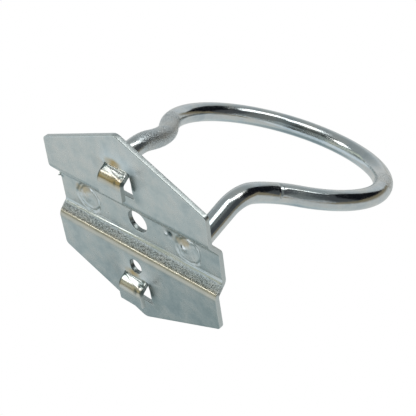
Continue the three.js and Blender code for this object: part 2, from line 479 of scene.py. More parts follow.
# Painted shade on a hook: along its sheared edge it starts at this x, and nearer the middle at the
# root
HOOK_EDGE_X = 3.55
HOOK_EDGE_WIDER = 0.9
HOOK_EDGE_SHADE = 0.95
DENT_SHADE = 0.85
# Painted shade beside the windows, and a fainter patch of painted shade beside the lower hook: aside
# and below its hinge
WINDOW_SHADE = 0.52
PATCH_SHADE = 0.22
PATCH_AT = (7.7, 0.6)
PATCH_HALF = (3.5, 4.5)
# Painted shade in the deep pits beside the welds and on the walls of the round holes
PIT_SHADE = 1.6
HOLE_SHADE = 0.55
# Stretches of sheet that the press roughened: from, to, strength
FOLD_ZONES = [
    (flat_s(UPPER_FOLD_Z + 0.5), flat_s(FLOOR_TOP_Z + 0.3), 0.15),
    (flat_s(FLOOR_LOW_Z - 0.9), flat_s(LOWER_FOLD_Z + 0.6), 1.0),
]
HOOK_ROUGHNESS = 0.015
# How the fine streaks of the rolled sheet run: noise cells per mm across and along
SHEET_STREAKS = (1.6, 0.4)


def gleam(x, s):
    """Painted highlight on the beads that splashed out of a weld."""
    bright = 0.0
    for splash, away in splashes_near(x, s):
        bright = max(bright, splash.gleam * (1 - smooth(away, 0.7, 1.1)))
    return bright


def weld_stain(x, s):
    """Yellow tint that the heat of a weld leaves on the coating above it."""
    tint = 0.0
    for side in SIDES:
        away = in_radii(x - side * LEG_X, WELD_S - s, WELD_STAIN_AT, WELD_STAIN_HALF)
        ragged = max(0.0, away + 0.9 * uneven(x, s, 0.8, 0.8, 2.0))
        tint = max(tint, WELD_STAIN * bell(ragged))
    return tint


def stain_and_tan_reflection(x, s):
    """Yellow tint: heat stain by the welds, and painted tan reflection round the hooks and on the
    lower fold.
    """
    hook = hook_of(x, s)
    if hook is not None:
        down = along_hook(hook, s)
        streak = 0.3 * uneven(x, down, 0.25, 2.2, 1.0)
        return (HOOK_PAINTED_TAN[hook] + streak) * bell(down - OUTER_BEND_DOWN, OUTER_BEND_HALF)
    tint = max(weld_stain(x, s), LOWER_FOLD_PAINTED_TAN * bell(s - LOWER_FOLD_S + 0.1))
    for start in HINGE_S:
        cloudy = 0.85 + 0.5 * uneven(x, s, 0.5, 0.8, 7.0)
        tint = max(tint, cloudy * bell(in_radii(x, start - s, HINGE_PAINTED_TAN_AT, HINGE_PAINTED_TAN_HALF)))
    return tint


def hook_shade(x, down, dent_darkness):
    """Painted shade on a hook: along its sheared +X edge and in the dents on its -X side."""
    inner = HOOK_EDGE_X - HOOK_EDGE_WIDER * (1 - smooth(down, 0.6, 2.6))
    edge = HOOK_EDGE_SHADE * smooth(x, inner, inner + 0.5) * (1 - smooth(down, 3.6, 5.4))
    blotch = 4 * uneven(x, down, 0.8, 0.8, 8.0) + dent_darkness
    dents = smooth(-x, 0.8, 2.6) * (1 - smooth(down, 3.8, 5.0))
    return max(edge, DENT_SHADE * dents * min(max(blotch, 0.0), 1.0))


def window_shade(x, s):
    """Painted shade on the stretched sheet on the -X side of the windows, and the fainter patch."""
    shade_share = 0.0
    for start in HINGE_S:
        beside = (-WINDOW_WIDTH / 2 - x - 0.9) / 1.6
        along = (s - start - 1.8) / 3.6
        shade_share = max(shade_share, WINDOW_SHADE * math.exp(-beside * beside - along ** 4))
    away = in_radii(x, s - HINGE_S[-1], PATCH_AT, PATCH_HALF)
    return max(shade_share, PATCH_SHADE * math.exp(-away))


def pit_shade(x, s):
    """Painted shade in the deep pits beside the welds."""
    shade_share = 0.0
    for splash, away in splashes_near(x, s):
        if splash.height < -SHADE_FROM_DEPTH:
            shade_share = max(shade_share, min(1.0, PIT_SHADE * bell(away)))
    return shade_share


def shade(x, s):
    """Painted shade on the sheet and its hooks."""
    hook = hook_of(x, s)
    if hook is not None:
        return hook_shade(x, s - HINGE_S[hook], HOOK_DENT_SHADE[hook])
    return max(window_shade(x, s), pit_shade(x, s))


def worked_at(x, s):
    """Grain of the coating: the folds are far grainier than the hooks and the flat sheet."""
    if hook_of(x, s) is not None:
        return HOOK_ROUGHNESS
    share = 0.0
    for low, high, strength in FOLD_ZONES:
        middle, half = (low + high) / 2, (high - low) / 2
        share = max(share, strength * (1 - smooth(abs(s - middle), half - 0.3, half + 0.3)))
    return share


# ---- loops and mesh of the flat sheet

SIDE_CORNER_R = 1.5
APEX_R = 3
OUTLINE_SPACING = 0.35
SLIT_SPACING = 0.3
SCREW_HOLE_POINTS = 72
PIN_HOLE_POINTS = 56
EDGE_R = 0.22
EDGE_STEPS = 4
# Spacing of the mesh points: in general, round the welds, on a hook, along the fold line
GRID = 0.46
WELD_GRID = 0.24
HOOK_GRID_ALONG = 0.15
HOOK_GRID_ACROSS = 0.25
FOLD_GRID_ACROSS = 0.5
LEAST_ROW_GAP = 0.05
CLEARANCE = 0.15
# The fine patch round a weld, from the weld's centre: across, and down along the sheet
WELD_PATCH_X = (-5.6, 8.4)
WELD_PATCH_S = (-5.4, 4.9)
FOLD_BAND_HALF = 1.5

# A closed loop at a cut: "outline", "hole" or "slit", its points, unit vectors out of the
# material, and its points where the rounding of the edge begins
Border = namedtuple("Border", "kind loop normals inset")


def round_polygon(corners, radii, spacing, steps=6):
    """A closed polygon with rounded corners and evenly divided sides."""
    corners = [Vector(c) for c in corners]
    count = len(corners)
    arcs = []
    for i, (corner, radius) in enumerate(zip(corners, radii)):
        before = (corners[i - 1] - corner).normalized()
        after = (corners[(i + 1) % count] - corner).normalized()
        centre, spokes, _ = arc_at(corner, before, after, radius, steps)
        arcs.append([centre + spoke for spoke in spokes])
    out = []
    for i, arc in enumerate(arcs):
        out.extend(arc)
        a, b = arc[-1], arcs[(i + 1) % count][0]
        pieces = max(1, int(round((b - a).length / spacing)))
        out.extend(a.lerp(b, k / pieces) for k in range(1, pieces))
    return out


def outline_loop():
    """The plate's six-cornered outline, as one closed loop in the flat sheet."""
    half = PLATE_WIDTH / 2
    top, bottom = flat_s(SIDE_HALF), flat_s(-SIDE_HALF)
    right = [(half, bottom), (half, top), (0, flat_s(APEX_HALF))]
    corners = right + [(-half, top), (-half, bottom), (0, flat_s(-APEX_HALF))]
    return round_polygon(corners, [SIDE_CORNER_R, SIDE_CORNER_R, APEX_R] * 2, OUTLINE_SPACING)


def circle_loop(s, diameter, count):
    """A round hole on the middle line, as one closed loop in the flat sheet."""
    turn = 2 * math.pi / count
    r = diameter / 2
    return [Vector((r * math.cos(turn * k), s + r * math.sin(turn * k))) for k in range(count)]


def slit_loop(start):
    """The U-shaped cut round a tab, as one closed loop in the flat sheet."""
    outer, inner = WINDOW_WIDTH / 2, HOOK_WIDTH / 2
    low, tab_low = start + WINDOW_DROP, start + TAB_LENGTH
    corners = [
        (-outer, start), (-outer, low), (outer, low), (outer, start),
        (inner, start), (inner, tab_low), (-inner, tab_low), (-inner, start),
    ]
    radii = [0.07, 0.5, 0.5, 0.07, 0.07, 0.4, 0.4, 0.07]
    return round_polygon(corners, radii, SLIT_SPACING)


def signed_area(loop):
    """Twice the area of a closed loop, positive where the loop turns to the left."""
    return sum(a.x * b.y - b.x * a.y for a, b in zip(loop, loop[1:] + loop[:1]))


def make_border(kind, loop):
    """A loop with its unit vectors from the material into the void, and its inner copy."""
    points_out = (signed_area(loop) > 0) == (kind == "outline")
    sign = 1.0 if points_out else -1.0
    normals = []
    for i in range(len(loop)):
        along = (loop[(i + 1) % len(loop)] - loop[i - 1]).normalized()
        normals.append(Vector((along.y, -along.x)) * sign)
    inset = [p - n * EDGE_R for p, n in zip(loop, normals)]
    return Border(kind, loop, normals, inset)


def plate_borders():
    """The sheet's outline, its two round holes and the slits round its hooks."""
    screw_hole = circle_loop(flat_s(SCREW_HOLE_Z), SCREW_HOLE_D, SCREW_HOLE_POINTS)
    pin_hole = circle_loop(flat_s(PIN_HOLE_Z), PIN_HOLE_D, PIN_HOLE_POINTS)
    borders = [make_border("outline", outline_loop())]
    borders.extend(make_border("hole", loop) for loop in (screw_hole, pin_hole))
    borders.extend(make_border("slit", slit_loop(start)) for start in HINGE_S)
    return borders


def inside_polygon(points, loop):
    """For each row of points, whether it lies inside the closed loop."""
    x, y = points[:, 0], points[:, 1]
    inside = np.zeros(len(points), bool)
    for a, b in zip(loop, loop[1:] + loop[:1]):
        if a.y == b.y:
            continue
        crosses = (a.y > y) != (b.y > y)
        inside ^= crosses & (x < (b.x - a.x) * (y - a.y) / (b.y - a.y) + a.x)
    return inside


def in_material(points, borders):
    """For each row of points, whether it lies within the outline and in none of the voids."""
    outline, *voids = [border.inset for border in borders]
    keep = inside_polygon(points, outline)
    for void in voids:
        keep &= ~inside_polygon(points, void)
    return keep


def far_from(points, others, distance):
    """For each row of points, whether no row of others is nearer than distance."""
    keep = np.ones(len(points), bool)
    block_size = 2000
    for first in range(0, len(points), block_size):
        part = points[first:first + block_size]
        gaps = np.hypot(part[:, None, 0] - others[None, :, 0], part[:, None, 1] - others[None, :, 1])
        keep[first:first + block_size] = gaps.min(axis=1) > distance
    return keep


def in_box(points, x_low, x_high, s_low, s_high):
    """For each row of points, whether it lies inside an upright box."""
    x, s = points[:, 0], points[:, 1]
    return (x > x_low) & (x < x_high) & (s > s_low) & (s < s_high)


def near_weld(x):
    """Whether a place across the sheet is in one of the fine patches round the welds."""
    low, high = WELD_PATCH_X
    return any(low < x - side * LEG_X < high for side in SIDES)


def grid_of(x_values, s_values):
    """All places with the given x and s values, row by row down the sheet."""
    return [(x, s) for s in s_values for x in x_values]


def coarse_rows():
    """Lengths along the sheet for the rows of the coarse grid, which follow its bends."""
    rows = []
    for a, b in zip(sheet_path.at_length, sheet_path.at_length[1:]):
        pieces = max(1, int(math.ceil((b - a) / GRID)))
        rows.extend(a + (b - a) * k / pieces for k in range(pieces))
    return rows[:1] + [b for a, b in zip(rows, rows[1:]) if b - a > LEAST_ROW_GAP]


def sheet_grid(borders):
    """Mesh points within the sheet: a coarse grid, finer by the welds, hooks and fold line."""
    half = PLATE_WIDTH / 2
    columns = np.linspace(-half, half, int(PLATE_WIDTH / GRID) + 1)
    grid = np.array(grid_of(columns, coarse_rows()))
    refined = np.zeros(len(grid), bool)
    fine = []
    for side in SIDES:
        x_low, x_high = (side * LEG_X + edge for edge in WELD_PATCH_X)
        s_low, s_high = (WELD_S + edge for edge in WELD_PATCH_S)
        refined |= in_box(grid, x_low, x_high, s_low, s_high)
        columns = np.arange(x_low + 0.1, x_high, WELD_GRID)
        fine += grid_of(columns, np.arange(s_low + 0.1, s_high, WELD_GRID))
    for start in HINGE_S:
        refined |= in_box(grid, -WINDOW_WIDTH / 2, WINDOW_WIDTH / 2, start, start + WINDOW_DROP)
        columns = np.arange(-4.0, 4.05, HOOK_GRID_ACROSS)
        fine += grid_of(columns, np.arange(start + 0.12, start + TAB_LENGTH - 0.2, HOOK_GRID_ALONG))
    beside_welds = np.array([not near_weld(x) for x in grid[:, 0]])
    refined |= (np.abs(grid[:, 1] - FOLD_LINE_S) < FOLD_BAND_HALF) & beside_welds
    columns = [x for x in np.arange(-half + 0.5, half - 0.4, FOLD_GRID_ACROSS) if not near_weld(x)]
    rows = np.arange(FOLD_LINE_S - FOLD_BAND_HALF, FOLD_LINE_S + FOLD_BAND_HALF, FOLD_LINE_WIDTH / 2)
    fine += grid_of(columns, rows)
    grid = np.vstack([grid[~refined], np.array(fine)])
    grid = grid[in_material(grid, borders)]
    border_points = np.array([(p.x, p.y) for border in borders for p in border.inset])
    return grid[far_from(grid, border_points, CLEARANCE)]


def triangulate(borders, grid):
    """Triangles over the flat sheet: their points, the borders' first, and their corners."""
    flat_points = []
    edges = []
    for border in borders:
        first, count = len(flat_points), len(border.inset)
        flat_points.extend(border.inset)
        edges.extend((first + i, first + (i + 1) % count) for i in range(count))
    flat_points.extend(Vector((x, s)) for x, s in grid)
    points, _, triangles, _, _, _ = delaunay_2d_cdt(flat_points, edges, [], 0, 1e-6)
    middles = np.array([
        [sum(points[i].x for i in t) / 3, sum(points[i].y for i in t) / 3] for t in triangles
    ])
    wanted = in_material(middles, borders)
    return points, [triangle for triangle, keep in zip(triangles, wanted) if keep]


def edge_profile():
    """The rounded cut edge, front to back: share of the way out, height from the middle."""
    front = []
    for k in range(1, EDGE_STEPS + 1):
        angle = math.pi / 2 * k / EDGE_STEPS
        front.append((math.sin(angle), SHEET / 2 - EDGE_R + EDGE_R * math.cos(angle)))
    back = [(out, -height) for out, height in reversed(front)]
    return front + [(1.0, 0.0)] + back


def make_plate(material):
    """The sheet's front and back, joined by rounded walls along its outline and voids."""
    borders = plate_borders()
    points, triangles = triangulate(borders, sheet_grid(borders))
    vertices = [sheet_point(p.x, p.y, SHEET / 2) for p in points]
    back = len(vertices)
    vertices.extend(sheet_point(p.x, p.y, -SHEET / 2) for p in points)
    places = [(p.x, p.y) for p in points] * 2
    on_cut = [0.0] * len(vertices)
    wall_shade = [0.0] * len(vertices)
    faces = []
    for a, b, c in triangles:
        turn = (points[b] - points[a]).cross(points[c] - points[a])
        front = (a, c, b) if turn > 0 else (a, b, c)
        faces.append(front)
        faces.append(tuple(back + i for i in reversed(front)))

    profile = edge_profile()
    first = 0
    for border in borders:
        count = len(border.inset)
        # Painted shade on the walls of the round holes
        darkness = HOLE_SHADE if border.kind == "hole" else 0.0
        rows = [range(first, first + count)]
        for out, height in profile:
            rows.append(range(len(vertices), len(vertices) + count))
            for p, n in zip(border.inset, border.normals):
                q = p + n * (EDGE_R * out)
                vertices.append(sheet_point(q.x, q.y, height))
                places.append((q.x, q.y))
                on_cut.append(out * out)
                wall_shade.append(darkness * out * out)
        rows.append(range(back + first, back + first + count))
        flipped = (signed_area(border.loop) > 0) != (border.kind == "outline")
        for upper, lower in zip(rows, rows[1:]):
            faces.extend(quad[::-1] if flipped else quad for quad in strip(upper, lower))
        first += count
    across, along = SHEET_STREAKS
    plate = new_object("plate_sheet", vertices, faces, material)
    paint(plate, "worked", [worked_at(x, s) for x, s in places])
    # Yellow weld stain and painted tan reflection
    paint(plate, "stain_and_painted_tan", [stain_and_tan_reflection(x, s) for x, s in places])
    # Painted shade on hooks, beside windows, in pits and on hole walls
    paint(plate, "shaded", [max(shade(*place), wall) for place, wall in zip(places, wall_shade)])
    paint(plate, "cut", on_cut)
    # Painted highlight on the weld beads
    paint(plate, "painted_glint", [gleam(x, s) for x, s in places])
    paint(plate, "unrolled", [(x * across, s * along, 0.0) for x, s in places])
    return plate


# -------- rod

RING_MIDDLE_X = LEG_X + SHOULDER_R
RING_REACH = math.sqrt((RING_R + SHOULDER_R) ** 2 - RING_MIDDLE_X ** 2)
SHOULDER_TURN = math.pi - math.atan2(RING_REACH, -RING_MIDDLE_X)
RING_HALF_TURN = math.pi / 2 - math.atan2(-RING_REACH, RING_MIDDLE_X)
SHOULDER_PART = SHOULDER_R * SHOULDER_TURN
RING_PART = RING_R * RING_HALF_TURN
HALF_LENGTH = LEG_LENGTH + SHOULDER_PART + RING_PART


def flat_rod(distance):
    """Flat position on the +X half, at a distance from the leg's end."""
    if distance < LEG_LENGTH:
        return LEG_X, distance
    after_leg = distance - LEG_LENGTH
    if after_leg < SHOULDER_PART:
        angle = math.pi - after_leg / SHOULDER_R
        x = LEG_X + SHOULDER_R + SHOULDER_R * math.cos(angle)
        return x, LEG_LENGTH + SHOULDER_R * math.sin(angle)
    to_tip = RING_PART - (after_leg - SHOULDER_PART)
    angle = math.pi / 2 - to_tip / RING_R
    return RING_R * math.cos(angle), LEG_LENGTH + RING_REACH + RING_R * math.sin(angle)


def rod_centre(distance):
    """The rod's centreline, from the -X leg's end (0) round to the +X leg's end."""
    side = -1 if distance < HALF_LENGTH else 1
    x, along = flat_rod(distance if side < 0 else 2 * HALF_LENGTH - distance)
    x *= side
    bent = max(0.0, min(FOLD_LENGTH, along - FOLD_START))
    slope = RISE - (RISE + DROP) * bent / FOLD_LENGTH
    fold_r = FOLD_LENGTH / (RISE + DROP)
    before = min(along, FOLD_START)
    after = max(along - FOLD_START - FOLD_LENGTH, 0.0)
    fold_out = fold_r * (math.sin(RISE) - math.sin(slope))
    fold_up = fold_r * (math.cos(slope) - math.cos(RISE))
    out = before * math.cos(RISE) + fold_out + after * math.cos(DROP)
    up = before * math.sin(RISE) + fold_up - after * math.sin(DROP)
    lean = TWIST * x * max(0.0, min(1.0, out / TWIST_REACH))
    return Vector((x, BACK_Y - out, PLATE_MID_Z + ROOT_Z + up + lean))


# Marks on the rod; places along it count from the -X leg's end
# The flat that the bending tool pressed on the +X shoulder: from, to, where it faces, its depth
FLAT_FROM = 2 * HALF_LENGTH - 44.0
FLAT_TO = 2 * HALF_LENGTH - 30.0
FLAT_FACING = Vector((0.45, -0.25, 0.86)).normalized()
FLAT_DEPTH = 0.22
# Stretches with a grainy, scuffed surface: middle, half length, strength
SCUFFS = [
    (2 * HALF_LENGTH - 33.0, 16.0, 1.0),
    (43.0, 7.5, 0.15),
    (78.0, 5.0, 0.5),
    (121.0, 6.0, 0.15),
]
# The small step on the -X branch: where it faces, a notch and the low ridge after it
STEP_AT = 34.3
STEP_FACING = Vector((-0.62, -0.05, 0.78))
NOTCH_BEFORE = 0.9
NOTCH_DEPTH = 0.16
NOTCH_HALF = 0.4
RIDGE_HEIGHT = 0.02
RIDGE_HALF = 0.35
# The fine raised line that the tool left after the step: where it faces, its size and its ends
BURR_FACING = Vector((-0.54, -0.07, 0.84)).normalized()
BURR_HEIGHT = 0.13
BURR_WIDTH = 0.38
BURR_RISE = (34.6, 35.6)
BURR_FALL = (48.5, 52.0)
# The round section lies this much inside the CAD model's, with slow swells
ROD_INSET = 0.02
ROD_SWELLS = 0.012
SCUFF_DEPTH = 0.03
SCUFF_GRAIN = 0.035
ROD_RINGS = 820
ROD_AROUND = 88
# How the fine streaks of the drawn rod run: noise cells per radius across, per mm along it
ROD_STREAKS = (7, 0.3)


def burr(distance, normal, tangent):
    """Height of the tool's raised line at a place on the rod's surface."""
    along = smooth(distance, *BURR_RISE) * (1 - smooth(distance, *BURR_FALL))
    if along == 0 or normal.dot(BURR_FACING) < 0.5:
        return 0.0
    aside = tangent.cross(BURR_FACING).normalized()
    across = ROD_R * normal.dot(aside)
    return BURR_HEIGHT * along * bell(across, BURR_WIDTH)


def scuffed(distance, point):
    """How grainy the rod's surface is, from 0 to 1."""
    share = 0.0
    drift = 2.0 * noise.noise(point * 0.25)
    for middle, half, strength in SCUFFS:
        away = abs(distance - middle + drift)
        share = max(share, strength * (1 - smooth(away, half * 0.7, half)))
    return share


def rod_relief(distance, normal, point, tangent):
    """How far the rod's surface lies below its round section."""
    depth = ROD_INSET + ROD_SWELLS * noise.noise(point * 0.35) - burr(distance, normal, tangent)
    share = smooth(distance, FLAT_FROM, FLAT_FROM + 0.5)
    share *= 1 - smooth(distance, FLAT_TO - 5, FLAT_TO)
    cos_a = normal.dot(FLAT_FACING)
    cut = ROD_R - FLAT_DEPTH * share
    if share > 0 and cos_a > cut / ROD_R:
        depth += ROD_R - cut / cos_a
    notch = NOTCH_DEPTH * bell(distance - STEP_AT + NOTCH_BEFORE, NOTCH_HALF)
    ridge = RIDGE_HEIGHT * bell(distance - STEP_AT, RIDGE_HALF)
    depth += smooth(normal.dot(STEP_FACING), 0.45, 0.8) * (notch - ridge)
    depth += scuffed(distance, point) * (SCUFF_DEPTH + SCUFF_GRAIN * noise.noise(point * 1.4))
    return depth


def make_rod(material):
    """One tube swept along the rod's centreline, with flat ends parallel to the plate."""
    rings, around = ROD_RINGS, ROD_AROUND
    streaks_round, streaks_along = ROD_STREAKS
    start = GAP / math.cos(RISE)
    span = 2 * HALF_LENGTH - 2 * start
    distances = [start + span * i / (rings - 1) for i in range(rings)]
    centres = [rod_centre(d) for d in distances]
    tangents = []
    for i in range(rings):
        step = centres[min(i + 1, rings - 1)] - centres[max(i - 1, 0)]
        tangents.append(step.normalized())
    side = tangents[0].cross(Vector((0, 0, 1))).normalized()
    vertices = []
    grainy = []
    unrolled = []
    for i in range(rings):
        side = (side - tangents[i] * side.dot(tangents[i])).normalized()
        up = side.cross(tangents[i])
        for k in range(around):
            angle = 2 * math.pi * k / around
            normal = side * math.cos(angle) + up * math.sin(angle)
            on_round = centres[i] + normal * ROD_R
            radius = ROD_R - rod_relief(distances[i], normal, on_round, tangents[i])
            point = centres[i] + normal * radius
            if i in (0, rings - 1):
                along = tangents[i] if i == 0 else -tangents[i]
                point += along * ((BACK_Y - GAP - point.y) / along.y)
            vertices.append(point)
            grainy.append(scuffed(distances[i], point))
            round_x, round_y = streaks_round * math.cos(angle), streaks_round * math.sin(angle)
            unrolled.append((round_x, round_y, streaks_along * distances[i]))
    faces = []
    for i in range(rings - 1):
        for k in range(around):
            n = (k + 1) % around
            a, b = i * around, (i + 1) * around
            faces.append((a + k, b + k, b + n, a + n))
    faces.append(tuple(range(around)))
    faces.append(tuple(reversed(range((rings - 1) * around, rings * around))))
    rod = new_object("bent_rod", vertices, faces, material)
    paint(rod, "worked", grainy)
    paint(rod, "unrolled", unrolled)
    return rod


# -------- welds

# Outside of a weld collar, from the plate up: distance inside its outer radius, height
COLLAR_OUTSIDE = [(0.12, 0.0), (0.02, 0.12), (0.06, 0.4), (0.22, 0.75), (0.45, 1.05), (0.72, 1.28)]
COLLAR_GAP = 0.12
COLLAR_AROUND = 72
COLLAR_LUMPS = 0.14


def make_weld(name, side, material):
    """A rough collar of weld metal round the end of a leg."""
    node = "weld_left" if side < 0 else "weld_right"
    low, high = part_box(node)
    centre_x = (low.x + high.x) / 2 / MM
    centre_z = (low.z + high.z) / 2 / MM
    outer = (high.x - low.x) / 2 / MM
    base_y = high.y / MM
    height = (high.y - low.y) / MM
    inner = ROD_R + COLLAR_GAP
    ring = [(outer - inward, up) for inward, up in COLLAR_OUTSIDE]
    ring.append((inner + 0.12, height - 0.12))
    ring.extend((inner, up) for up in (height - 0.2, 0.9, 0.45, 0.0))
    vertices = []
    for i in range(COLLAR_AROUND):
        angle = 2 * math.pi * i / COLLAR_AROUND
        cos_a, sin_a = math.cos(angle), math.sin(angle)
        for radius, up in ring:
            lump = noise.noise(Vector((cos_a * 2.2, sin_a * 2.2, up * 1.3 + side * 4)))
            drift = up * math.tan(RISE) * (1 - smooth(radius, inner, outer))
            r = radius
            if radius > inner + 0.05:
                r = min(outer, radius + COLLAR_LUMPS * lump)
            vertices.append((centre_x + r * cos_a, base_y - up, centre_z + r * sin_a + drift))
    size = len(ring)
    rows = [range(i * size, (i + 1) * size) for i in range(COLLAR_AROUND)]
    faces = [quad for a, b in zip(rows, rows[1:] + rows[:1]) for quad in strip(a, b)]
    return new_object(name, vertices, faces, material)


# -------- materials


def nodes_of(owner):
    """The node tree of a material or a world, emptied."""
    owner.use_nodes = True
    tree = owner.node_tree
    tree.nodes.clear()
    return tree


def add(tree, kind, **inputs):
    """A new shader node with some of its inputs set."""
    node = tree.nodes.new("ShaderNode" + kind)
    for key, value in inputs.items():
        node.inputs[key].default_value = value
    return node


def noise_node(tree, vector, scale, detail, roughness):
    node = add(tree, "TexNoise", Scale=scale, Detail=detail, Roughness=roughness)
    tree.links.new(vector, node.inputs["Vector"])
    return node.outputs["Fac"]


def ramp(tree, factor, stops):
    node = add(tree, "ValToRGB")
    elements = node.color_ramp.elements
    while len(elements) < len(stops):
        elements.new(0.5)
    for element, (position, colour) in zip(elements, stops):
        element.position = position
        element.color = (*colour, 1.0)
    tree.links.new(factor, node.inputs["Fac"])
    return node.outputs["Color"]


def remap(tree, value, low, high, to_low=0.0, to_high=1.0, kind="LINEAR"):
    """A value stretched from the range low..high to the range to_low..to_high."""
    node = add(tree, "MapRange")
    node.interpolation_type = kind
    for index, number in zip((1, 2, 3, 4), (low, high, to_low, to_high)):
        node.inputs[index].default_value = number
    tree.links.new(value, node.inputs[0])
    return node.outputs[0]


def bump(tree, height, below=None):
    """Small relief of a height in metres, over the relief below it."""
    node = add(tree, "Bump", Strength=1.0, Distance=1.0)
    tree.links.new(height, node.inputs["Height"])
    if below is not None:
        tree.links.new(below, node.inputs["Normal"])
    return node.outputs["Normal"]


def mix(tree, factor, first, second):
    """Blend of two colours; each is a socket or a plain colour."""
    node = add(tree, "Mix")
    node.data_type = "RGBA"
    for socket, value in ((node.inputs[6], first), (node.inputs[7], second)):
        if isinstance(value, tuple):
            socket.default_value = (*value, 1.0)
        else:
            tree.links.new(value, socket)
    tree.links.new(factor, node.inputs["Factor"])
    return node.outputs[2]


def calculate(tree, operation, first, second):
    """One arithmetic step; each operand is a socket or a number."""
    node = add(tree, "Math")
    node.operation = operation
    for socket, value in zip(node.inputs, (first, second)):
        if isinstance(value, (int, float)):
            socket.default_value = value
        else:
            tree.links.new(value, socket)
    return node.outputs[0]


def attribute(tree, name, output="Fac"):
    """What was painted on the vertices under this name."""
    node = add(tree, "Attribute")
    node.attribute_name = name
    return node.outputs[output]


# Yellow tone of the welds' heat stain and of the painted tan reflection on hooks, hinges and the
# lower fold
STAIN_AND_TAN_REFLECTION_TONE = (0.43, 0.32, 0.16)
CUT_EDGE = (0.56, 0.61, 0.61)
PITS = (0.16, 0.18, 0.17)
# Painted shade: tone of the dark layer on the hooks, beside the windows, in pits and on hole walls
PAINTED_SHADE = (0.07, 0.10, 0.10)
# Painted highlight on the weld beads
PAINTED_HIGHLIGHT = (0.96, 0.97, 0.97)


def zinc(name, tones, sizes, rough, worked_rough, worked_metal, pits, bump_sizes, swell_size):
    """Zinc-plated steel: cloudy tint, specks, fine scratches, and grain where it was worked.

    sizes are noise cells per metre of clouds, specks and grain; rough is the least and most
    roughness; worked_ values and the second bump height (metres) apply where "worked" is 1.
    """
    material = bpy.data.materials.new(name)
    tree = nodes_of(material)
    output = add(tree, "OutputMaterial")
    shader = add(tree, "BsdfPrincipled")
    tree.links.new(shader.outputs["BSDF"], output.inputs["Surface"])
    coords = add(tree, "TexCoord").outputs["Object"]
    cloud_size, speck_size, grain_size = sizes
    clouds = noise_node(tree, coords, cloud_size, 5.0, 0.6)
    specks = noise_node(tree, coords, speck_size, 3.0, 0.6)
    grain = noise_node(tree, coords, grain_size, 3.0, 0.65)
    streaks = noise_node(tree, attribute(tree, "unrolled", "Vector"), 1.0, 3.0, 0.6)
    worked = attribute(tree, "worked")

    colour = ramp(tree, clouds, list(zip((0.32, 0.45, 0.56, 0.68), tones)))
    dark_specks = remap(tree, specks, 0.66, 0.82, 0.0, 0.12)
    colour = mix(tree, dark_specks, colour, tones[0])
    pitted = calculate(tree, "MULTIPLY", remap(tree, grain, 0.50, 0.62, 0.0, pits), worked)
    colour = mix(tree, pitted, colour, PITS)
    # Layers painted on the vertices: yellow weld stain with painted tan reflection, the cut edges'
    # tone, painted shade and painted highlight
    for layer, tone in (("stain_and_painted_tan", STAIN_AND_TAN_REFLECTION_TONE), ("cut", CUT_EDGE), ("shaded", PAINTED_SHADE), ("painted_glint", PAINTED_HIGHLIGHT)):
        colour = mix(tree, attribute(tree, layer), colour, tone)

    roughness = remap(tree, clouds, 0.3, 0.7, *rough)
    scuffs = remap(tree, specks, 0.35, 0.65, -0.04, 0.05)
    grainy = calculate(tree, "MULTIPLY", worked, worked_rough)
    sheared = calculate(tree, "MULTIPLY", attribute(tree, "cut"), 0.10)
    for rougher in (scuffs, grainy, sheared):
        roughness = calculate(tree, "ADD", roughness, rougher)
    metal = remap(tree, worked, 0.0, 1.0, 1.0, worked_metal)

    relief = calculate(tree, "MULTIPLY", grain, remap(tree, worked, 0.0, 1.0, *bump_sizes))
    drawn = calculate(tree, "MULTIPLY", streaks, bump_sizes[0])
    relief = calculate(tree, "ADD", relief, drawn)
    fine = bump(tree, relief)
    swells = noise_node(tree, coords, cloud_size, 1.0, 0.4)
    broad = bump(tree, calculate(tree, "MULTIPLY", swells, swell_size), fine)
    looks = {"Base Color": colour, "Roughness": roughness, "Metallic": metal, "Normal": broad}
    for socket, value in looks.items():
        tree.links.new(value, shader.inputs[socket])
    return material


PLATE_TONES = [(0.48, 0.53, 0.53), (0.55, 0.59, 0.58), (0.60, 0.62, 0.60), (0.64, 0.64, 0.61)]
ROD_TONES = [(0.50, 0.56, 0.59), (0.58, 0.63, 0.65), (0.63, 0.66, 0.66), (0.66, 0.67, 0.65)]
WELD_TONES = [(0.25, 0.25, 0.24), (0.34, 0.34, 0.33), (0.42, 0.42, 0.40), (0.46, 0.45, 0.42)]
plate_zinc = zinc(
    "zinc_sheet", PLATE_TONES,
    sizes=(190, 900, 1700), rough=(0.18, 0.27),
    worked_rough=-0.04, worked_metal=1.0,
    pits=0.8, bump_sizes=(3e-6, 7e-4), swell_size=1e-4,
)
rod_zinc = zinc(
    "zinc_rod", ROD_TONES,
    sizes=(160, 800, 2100), rough=(0.09, 0.16),
    worked_rough=0.18, worked_metal=0.8,
    pits=0.2, bump_sizes=(2e-5, 2e-4), swell_size=5e-5,
)
weld_zinc = zinc(
    "zinc_weld", WELD_TONES,
    sizes=(500, 1500, 2600), rough=(0.30, 0.45),
    worked_rough=0.1, worked_metal=1.0,
    pits=0.3, bump_sizes=(1e-4, 2e-4), swell_size=1e-4,
)

pieces = [
    (make_plate(plate_zinc), "back_plate", "plate_zinc"),
    (make_rod(rod_zinc), "ring_rod", "rod_zinc"),
    (make_weld("weld_collar_left", -1, weld_zinc), "weld_left", "weld_zinc"),
    (make_weld("weld_collar_right", 1, weld_zinc), "weld_right", "weld_zinc"),
]
for piece, node, slot in pieces:
    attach(piece, "root")
    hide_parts(node)

# -------- studio

scene = bpy.context.scene
scene.view_settings.view_transform = "Standard"

WHITE = (1.0, 1.0, 1.0)
FLOOR_DROP = 0.35
FLOOR_HALF = 3.5
